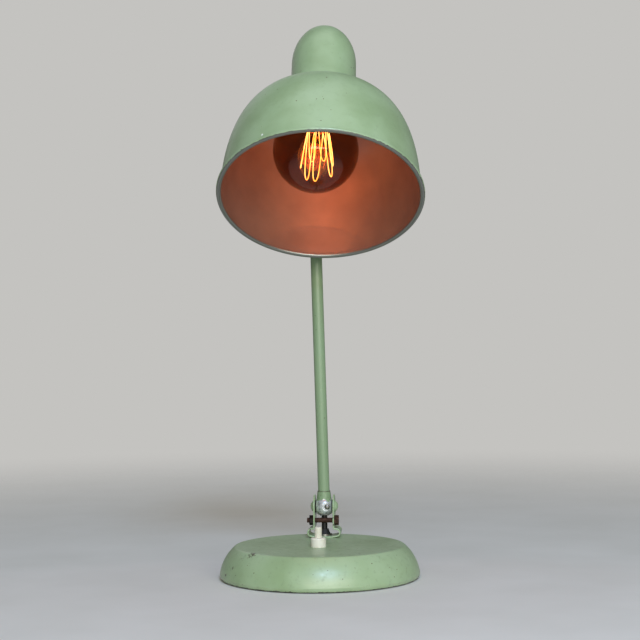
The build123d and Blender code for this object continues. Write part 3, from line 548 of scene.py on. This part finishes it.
def makeInnerPaint():
    # reflector paint inside the dome: thin metallic satin paint; its dark warm brown-grey is painted shade of the
    # dome's hollow and painted orange glow of the bulb
    material, tree, where, shader = startMaterial("reflector_paint_glow_and_shade_painted")
    cloud = addNode(tree, "TexNoise", {"Scale": perMetre(reflector["cloud"]), "Detail": 4}, {"Vector": where})
    tone = addNode(tree, "ValToRGB", links={"Fac": cloud}, stops=reflector["paint"])
    tree.links.new(tone.outputs[0], shader.inputs["Base Color"])
    shader.inputs["Metallic"].default_value = reflector["metallic"]
    fine = addNode(tree, "TexNoise", {"Scale": perMetre(reflector["grain"]), "Detail": 2}, {"Vector": where})
    rough = addNode(tree, "MapRange", {1: 0.3, 2: 0.7, 3: reflector["smooth"], 4: reflector["rough"]},
                    {0: fine})
    tree.links.new(rough.outputs[0], shader.inputs["Roughness"])
    skin = addNode(tree, "Bump", {"Strength": 0.15, "Distance": 0.08 * mm}, {"Height": fine})
    tree.links.new(skin.outputs[0], shader.inputs["Normal"])
    return material


thinGlass = {"cloud": 22.0, "headOn": 0.04, "edgeOn": 0.6, "power": 5.0}


def makeThinGlass(name, tint, streakTint, rough):
    # thin blown glass: it hardly bends the view, so it is a tinted clear skin under a Fresnel gloss,
    # with faint clouds in the tint from the blowing
    material, tree, where = emptyMaterial(name)
    cloud = addNode(tree, "TexNoise", {"Scale": perMetre(thinGlass["cloud"]), "Detail": 2}, {"Vector": where})
    tone = addNode(tree, "ValToRGB", links={"Fac": cloud}, stops=[(0.3, streakTint), (0.7, tint)])
    clear = addNode(tree, "BsdfTransparent", links={"Color": tone})
    gloss = addNode(tree, "BsdfGlossy", {"Roughness": rough})
    # gloss of glass: 4 % head on, rising with the fifth power towards the edge
    facing = addNode(tree, "LayerWeight", {"Blend": 0.5}).outputs["Facing"]
    steep = addNode(tree, "Math", {1: thinGlass["power"]}, {0: facing}, operation="POWER")
    mirror = addNode(tree, "MapRange", {1: 0, 2: 1, 3: thinGlass["headOn"], 4: thinGlass["edgeOn"]},
                     {0: steep})
    skin = addNode(tree, "MixShader", links={0: mirror, 1: clear, 2: gloss})
    addNode(tree, "OutputMaterial", links={"Surface": skin})
    return material


glow = {"hottest": "#ffbf7a", "cooler": "#ff9c46", "strength": 11.0, "patch": 12.0}


def makeGlow():
    # carbon thread at white-orange heat, a little uneven along its length
    material, tree, where = emptyMaterial("glowing_carbon_thread")
    cloud = addNode(tree, "TexNoise", {"Scale": perMetre(glow["patch"]), "Detail": 1}, {"Vector": where})
    tone = addNode(tree, "ValToRGB", links={"Fac": cloud},
                   stops=[(0.35, glow["cooler"]), (0.65, glow["hottest"])])
    shine = addNode(tree, "Emission", {"Strength": glow["strength"]}, {"Color": tone})
    addNode(tree, "OutputMaterial", links={"Surface": shine})
    return material


knuckleFinish = makeKnuckleFinish()
innerPaint = makeInnerPaint()
smokedGlass = makeThinGlass("blown_smoked_glass", "#dccab8", "#d2bcaa", 0.02)
clearGlass = makeThinGlass("drawn_clear_glass", "#e6ebe6", "#dfe6e0", 0.03)
glowing = makeGlow()
print("finishes made:", len(bpy.data.materials))

# shade: dome and neck cup, in the shade's own axes from the rim's centre; millimetres

shadeDome = {
    "radius": 96.2, "height": 110.0, "powerR": 4.45, "powerH": 2.02, "wall": 1.0,
    "beadCentre": 97.5, "bead": 2.5, "beadTurn": (120, -204), "collar": 31.25, "collarRise": 11.0,
    "start": 0.03, "steps": 60, "beadSteps": 40, "paintedBead": 6, "collarSteps": 5, "around": 224,
    # wear starts at wearFrom degrees round the bead and is full wearSpan degrees on, at its underside
    "beadWear": 0.12, "wearFrom": -12.0, "wearSpan": 45.0,
}


def domeOutline(inset, innerRadius, steps):
    # superellipse from the rim up to innerRadius: (r / radius)^powerR + (h / height)^powerH = 1
    radius, height = shadeDome["radius"] - inset, shadeDome["height"] - inset
    last = acos((innerRadius / radius) ** (shadeDome["powerR"] / 2))
    t = np.linspace(shadeDome["start"], last, steps)
    return np.stack([radius * np.cos(t) ** (2 / shadeDome["powerR"]),
                     height * np.sin(t) ** (2 / shadeDome["powerH"])], axis=1)


def makeShadeDome():
    # one closed wall: down the outside, round the rolled bead, up the inside and over the collar's top
    inner = shadeDome["collar"] - shadeDome["wall"]
    outside = domeOutline(0, shadeDome["collar"], shadeDome["steps"])[::-1]
    inside = domeOutline(shadeDome["wall"], inner, shadeDome["steps"])
    beadAngle = np.linspace(*shadeDome["beadTurn"], shadeDome["beadSteps"])
    bead = np.stack([shadeDome["beadCentre"] + shadeDome["bead"] * np.cos(np.radians(beadAngle)),
                     shadeDome["bead"] * np.sin(np.radians(beadAngle))], axis=1)
    top = outside[0, 1] + shadeDome["collarRise"]
    rise = np.linspace(top, outside[0, 1], shadeDome["collarSteps"], endpoint=False)
    collar = np.stack([np.full_like(rise, shadeDome["collar"]), rise], axis=1)
    sleeve = np.stack([np.full_like(rise, inner), rise[::-1]], axis=1)
    profile = np.concatenate([collar, outside, bead, inside, sleeve])
    beadStart = len(collar) + len(outside)
    beadEnd = beadStart + len(bead)
    wear = np.zeros(len(profile))
    rubbed = np.clip((shadeDome["wearFrom"] - beadAngle) / shadeDome["wearSpan"], 0, 1)
    wear[beadStart:beadEnd] = shadeDome["beadWear"] + rubbed
    bands = np.zeros(len(profile))
    bands[beadEnd - shadeDome["paintedBead"]:] = 1     # the inner paint starts on the bead's last columns
    grid = placed(spinGrid(profile, shadeDome["around"]), rimCentre, shadeAxes)
    dome = makeSurface("shade_dome_enamelled", grid, True, True, {"edge_wear": wear}, bands)
    return finishPiece(dome, [domeEnamel, innerPaint], "shade", "mint_enamel", "shade_dome")


neckCup = {"radius": 32.5, "wall": 1.2, "seat": 0.4, "rounding": 46.0, "top": 213.0, "lip": 0.4,
           "around": 160, "arcSteps": 26, "sleeveSteps": 13, "lipSteps": 7, "lipWear": 0.5}


def makeNeckCup():
    # straight sleeve closed by a quarter ellipse, as one closed wall whose lower edge is rounded
    low = domeOutline(0, neckCup["radius"], 2)[-1, 1] + neckCup["seat"]
    start = neckCup["top"] - neckCup["rounding"]
    turn = np.linspace(0, pi / 2, neckCup["arcSteps"])

    def side(inset):
        arc = np.stack([(neckCup["radius"] - inset) * np.cos(turn),
                        start + (neckCup["rounding"] - inset) * np.sin(turn)], axis=1)
        sleeve = np.linspace(low + neckCup["lip"], start, neckCup["sleeveSteps"], endpoint=False)
        walls = np.stack([np.full_like(sleeve, neckCup["radius"] - inset), sleeve], axis=1)
        return np.concatenate([walls, arc])

    outside, inside = side(0), side(neckCup["wall"])
    half = neckCup["wall"] / 2
    lip = np.linspace(pi, 2 * pi, neckCup["lipSteps"])[1:-1]
    edge = np.stack([neckCup["radius"] - half + half * np.cos(lip),
                     low + neckCup["lip"] * (1 + np.sin(lip))], axis=1)
    outside[-1, 0] = inside[-1, 0] = 0
    profile = np.concatenate([inside[::-1], edge, outside])
    wear = np.zeros(len(profile))
    wear[len(inside) - 2:len(inside) + len(edge) + 1] = neckCup["lipWear"]
    grid = placed(spinGrid(profile, neckCup["around"]), rimCentre, shadeAxes)
    cup = makeSurface("neck_cup_enamelled", grid, True, False, {"edge_wear": wear})
    return finishPiece(cup, [edgedEnamel], "shade", "mint_enamel", "neck_cup")


makeShadeDome()
makeNeckCup()
print("shade made")

# bulb: globe, thread and its light, in the bulb's own axes from the globe's centre; millimetres

bulb = {"neck": 13.0, "fillet": 16.0, "wall": 0.8, "neckEnd": 54.5, "ballSteps": 56, "hollowSteps": 14,
        "around": 128, "light": 0.165, "lightRise": 9.0, "lightSize": 12.0, "lightColour": "#ff7638"}
globe = globeRadius / mm


def glassOutline(inset):
    # a ball runs into its neck on a hollow arc that touches both; heights are from the ball's centre
    ball, neck, hollow = globe - inset, bulb["neck"] - inset, bulb["fillet"] + inset
    rise = sqrt((ball + hollow) ** 2 - (neck + hollow) ** 2)
    lean = acos(rise / hypot(rise, neck + hollow))
    onBall = np.linspace(-pi / 2, pi / 2 - lean, bulb["ballSteps"])
    onHollow = np.linspace(1.5 * pi - lean, pi, bulb["hollowSteps"])
    return np.concatenate([
        np.stack([ball * np.cos(onBall), ball * np.sin(onBall)], axis=1),
        np.stack([neck + hollow + hollow * np.cos(onHollow), rise + hollow * np.sin(onHollow)], axis=1),
        [[neck, bulb["neckEnd"]]]])


def makeBulbGlass():
    outside, inside = glassOutline(0), glassOutline(bulb["wall"])
    outside[0, 0] = inside[0, 0] = 0
    grid = placed(spinGrid(np.concatenate([outside, inside[::-1]]), bulb["around"]), globeCentre, bulbAxes)
    glass = makeSurface("bulb_globe", grid, True, False)
    glass.visible_shadow = False      # the light inside shines out through it
    return finishPiece(glass, [smokedGlass], "shade", "smoked_glass", "bulb_glass")


thread = {"loops": 7, "radius": 0.42, "hookHeight": 30.0, "hookSpread": 9.5, "bottom": -25.5, "spread": 16.5,
          "trim": 0.06, "legPower": 0.62, "flare": 0.8, "hurry": 0.45, "uneven": 2.2, "sagPhase": (2.4, 0.7),
          "swing": 0.25, "swingPhase": 1.9, "start": 0.25, "lean": 3.4, "points": 900, "sides": 8}


def threadPath():
    # the thread runs down and up round the cage: the height follows a power of a raised cosine, the
    # angle hurries by sin(2 phase) at each turn so that the legs stay straight, and the sag and swing
    # of each loop follow a sine of its number, so every loop hangs a little differently
    u = np.linspace(thread["trim"], thread["loops"] - thread["trim"], thread["points"])
    phase = 2 * pi * u
    low = (0.5 - 0.5 * np.cos(phase)) ** thread["legPower"]
    loop = np.floor(u)
    perLoop, first = thread["sagPhase"]
    sag = thread["uneven"] * np.sin(perLoop * loop + first)
    height = thread["hookHeight"] + (thread["bottom"] + sag - thread["hookHeight"]) * low
    hurried = u + thread["hurry"] * np.sin(2 * phase) / (4 * pi)
    swung = thread["swing"] * low * np.sin(thread["swingPhase"] * loop)
    turn = 2 * pi / thread["loops"] * (hurried + swung) + thread["start"]
    spread = thread["hookSpread"] + (thread["spread"] - thread["hookSpread"]) * low ** thread["flare"]
    return np.stack([spread * np.cos(turn) + thread["lean"] * low, spread * np.sin(turn), height], axis=1)


def makeFilament():
    path = threadPath()
    tube = tubeGrid(path, thread["radius"], thread["sides"], path * [1, 1, 0])
    grid = placed(tube, globeCentre, bulbAxes)
    filament = makeSurface("filament_thread", grid, wrapColumns=True)
    # the bulb's own light stands in for the light of the thread
    filament.visible_diffuse = filament.visible_shadow = False
    return finishPiece(filament, [glowing], "shade", "glowing_carbon", "filament")


def makeBulbLight():
    data = bpy.data.lights.new("bulbLight", "POINT")
    data.energy = bulb["light"]
    data.color = toLinear(bulb["lightColour"])[:3]
    data.shadow_soft_size = bulb["lightSize"] * mm
    light = bpy.data.objects.new("bulbLight", data)
    light.location = globeCentre + bulb["lightRise"] * mm * bulbAxis
    bpy.context.scene.collection.objects.link(light)
    light.visible_camera = light.visible_transmission = False
    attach(light, "shade")


makeBulbGlass()
makeFilament()
makeBulbLight()
print("bulb made")

# bracket at the foot of the arm; millimetres

strap = {"width": 24.0, "thickness": 1.5, "gap": 18.5, "curl": 34.4, "curlHeight": 8.4, "curlRadius": 3.6,
         "rise": 1.6, "neckBend": 1.9, "footBend": 10.8, "rounding": 0.45, "wornBand": 1.6, "edgeWear": 0.42,
         "faceWear": 0.1, "cheekRows": 22, "arcSteps": 4}


def makeBracket():
    # a strap's rounded oblong section is carried along the bent line; its half width follows the
    # cheek's round end, sqrt(w^2 - z^2) at the height z above the pivot
    _, y, pivotHeight = (lowerPivot / mm).tolist()
    foot = float(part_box("joint_bracket")[0].z) / mm + strap["thickness"] / 2
    corner = strap["curl"] / 2 - strap["thickness"] / 2
    cheek = strap["gap"] / 2 + strap["thickness"] / 2
    shoulder = foot + strap["curlHeight"]
    top = pivotHeight + strap["width"] / 2
    right = [(corner / 2, foot), (corner, foot + strap["rise"]), (corner, shoulder), (cheek, shoulder),
             (cheek, top)]
    left = [(-x, z) for x, z in right[::-1]]
    bends = [strap["neckBend"], strap["curlRadius"], strap["curlRadius"]]
    line = roundedPath(left + right, bends + [strap["footBend"]] * 2 + bends[::-1])
    # the straight cheeks get rows that crowd towards the round end
    share = np.sin(np.linspace(0, pi / 2, strap["cheekRows"]))
    crowd = top - (top - shoulder - strap["neckBend"]) * (1 - share)
    ends = np.stack([np.full_like(crowd, cheek), crowd], axis=1)
    line = np.concatenate([ends[::-1] * [-1, 1], line[1:-1], ends])
    along = np.gradient(line, axis=0)
    along /= np.linalg.norm(along, axis=1, keepdims=True)
    out = np.stack([-along[:, 1], along[:, 0]], axis=1)
    high = np.clip(line[:, 1] - pivotHeight, 0, strap["width"] / 2 - 0.01)
    half = np.sqrt((strap["width"] / 2) ** 2 - high ** 2)[:, None]
    # section: quarter circles of the rounding at four corners
    n = strap["arcSteps"]
    turn = (np.arange(4)[:, None] * pi / 2 + np.linspace(0, pi / 2, n)).ravel()
    signY = np.repeat([1, -1, -1, 1], n)
    signT = np.repeat([1, 1, -1, -1], n)
    rounding, face = strap["rounding"], strap["thickness"] / 2
    across = np.maximum(half - rounding, 0) * signY + rounding * np.cos(turn)
    deep = (face - rounding) * signT + rounding * np.sin(turn)
    wear = np.full(4 * n, strap["edgeWear"])
    # two more points on each broad face, a little in from its edges, keep the wear at the edges
    inner = np.maximum(half - strap["wornBand"], 0) * np.array([1, -1])
    spots = [n, n, 3 * n, 3 * n]
    across = np.insert(across, spots, np.concatenate([inner, -inner], axis=1), axis=1)
    deep = np.insert(deep, spots, [face, face, -face, -face])
    wear = np.insert(wear, spots, strap["faceWear"])
    grid = np.stack([line[:, :1] + out[:, :1] * deep, y + across, line[:, 1:] + out[:, 1:] * deep], axis=-1)
    # a point at each end of the line closes the strap
    tips = np.stack([line[[0, -1], 0], [y, y], line[[0, -1], 1]], axis=-1)[:, None].repeat(len(deep), axis=1)
    grid = np.concatenate([tips[:1], grid, tips[1:]]) * mm
    strapPiece = makeSurface("joint_bracket_strap", grid, False, True, {"edge_wear": wear})
    return finishPiece(strapPiece, [edgedEnamel], "base", "mint_enamel", "joint_bracket")


makeBracket()
print("bracket made")

# lead inside the lamp; millimetres, and flexFrom and flexTo are heights above the lower pivot

lead = {"radius": 3.0, "height": 13.0, "bend": 13.0, "bendSteps": 14, "switchBack": 12.0, "below": 20.0,
        "fineFrom": 19.0, "fineSteps": 24, "flexFrom": -15.0, "flexTo": -5.0, "discStop": 9.0, "armSteps": 12,
        "sides": 24}


def makeLead():
    # one sheathed lead from the switch through the base, up past the knuckle and through the arm
    switchBack = middle("switch_body")[1] / mm + lead["switchBack"]
    _, y, pivotHeight = (lowerPivot / mm).tolist()
    corners = [(0, switchBack, lead["height"]), (0, y, lead["height"]), (0, y, pivotHeight - lead["below"])]
    low = roundedPath(corners, [lead["bend"]], lead["bendSteps"])
    straight = np.linspace(pivotHeight - lead["fineFrom"], pivotHeight, lead["fineSteps"])
    through = np.stack([0 * straight, np.full_like(straight, y), straight], axis=1)
    armLength = np.linalg.norm(upperPivot - lowerPivot) / mm
    climb = np.linspace(0, armLength - lead["discStop"], lead["armSteps"])[1:, None]
    path = np.concatenate([low, through, lowerPivot / mm + climb * armAxis])
    grid = tubeGrid(path, lead["radius"], lead["sides"], np.array([1.0, 0, 0])) * mm
    sheath = makeSurface("inner_lead", grid, wrapColumns=True)
    sheath.data.materials.append(finishes["black_pvc_sheath"])
    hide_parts("foot_lead", "arm_lead")
    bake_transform(sheath)


makeLead()
print("lead made")

# spring under the switch's plunger; millimetres

spring = {"wire": 0.32, "turns": 7.0, "closedEnds": 0.4, "pointsPerTurn": 28, "sides": 8}


def makeSwitchSpring():
    # wound wire under the plunger: the height rises evenly, with a flat last turn at each
    # end, so t is eased by closedEnds sin(2 pi t) / (2 pi)
    bottom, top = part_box("switch_spring")
    x, y, _ = middle("switch_spring")
    reach = (top.x - bottom.x) / 2 / mm - spring["wire"]
    t = np.linspace(0, 1, int(spring["turns"] * spring["pointsPerTurn"]))
    eased = t - spring["closedEnds"] * np.sin(2 * pi * t) / (2 * pi)
    start, end = bottom.z / mm + spring["wire"], top.z / mm - spring["wire"]
    turn = 2 * pi * spring["turns"] * t
    path = np.stack([x / mm + reach * np.cos(turn), y / mm + reach * np.sin(turn),
                     start + (end - start) * eased], axis=1)
    grid = tubeGrid(path, spring["wire"], spring["sides"], np.array([0, 0, 1.0])) * mm
    coil = makeSurface("switch_spring_coil", grid, wrapColumns=True)
    coil.data.materials.append(finishes["zinc_plated_steel"])
    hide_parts("switch_spring")
    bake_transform(coil)


makeSwitchSpring()
print("spring made")

# finishes of the nodes that stay as they are

nodeFinish = {
    "base_shell": baseEnamel, "pivot_screws": plainEnamel, "arm_tube": armEnamel, "arm_disc": plainEnamel,
    "shade_disc": plainEnamel, "neck_saddle": plainEnamel, "lower_knuckle": knuckleFinish,
    "filament_mount": clearGlass, "switch_body": finishes["brown_phenolic_moulding"],
    "lampholder": finishes["brown_phenolic_moulding"],
}
finishOfSlot = {
    "grey_iron": "grey_cast_iron", "plain_steel": "zinc_plated_steel", "rusty_steel": "brown_rusted_steel",
    "dark_steel": "blackened_steel", "bare_aluminium": "cast_aluminium_worn",
    "lamp_brass": "lamp_brass_satin", "pad_rubber": "grey_pad_rubber", "black_rubber": "black_rubber_moulded",
    "black_lead": "black_pvc_sheath", "black_fibre": "pressed_black_fibre",
    "ivory_plastic": "ivory_urea_moulding", "black_glass": "black_cap_glass",
}
slotOfNode = {part["node"]: part["material_slot"] for part in frame["record"]["subparts"]}
for name, node in frame["nodes"].items():
    if not node.hide_render:
        finish = nodeFinish.get(name) or finishes[finishOfSlot[slotOfNode[name]]]
        node.material_slots[0].material = finish
print("nodes finished")
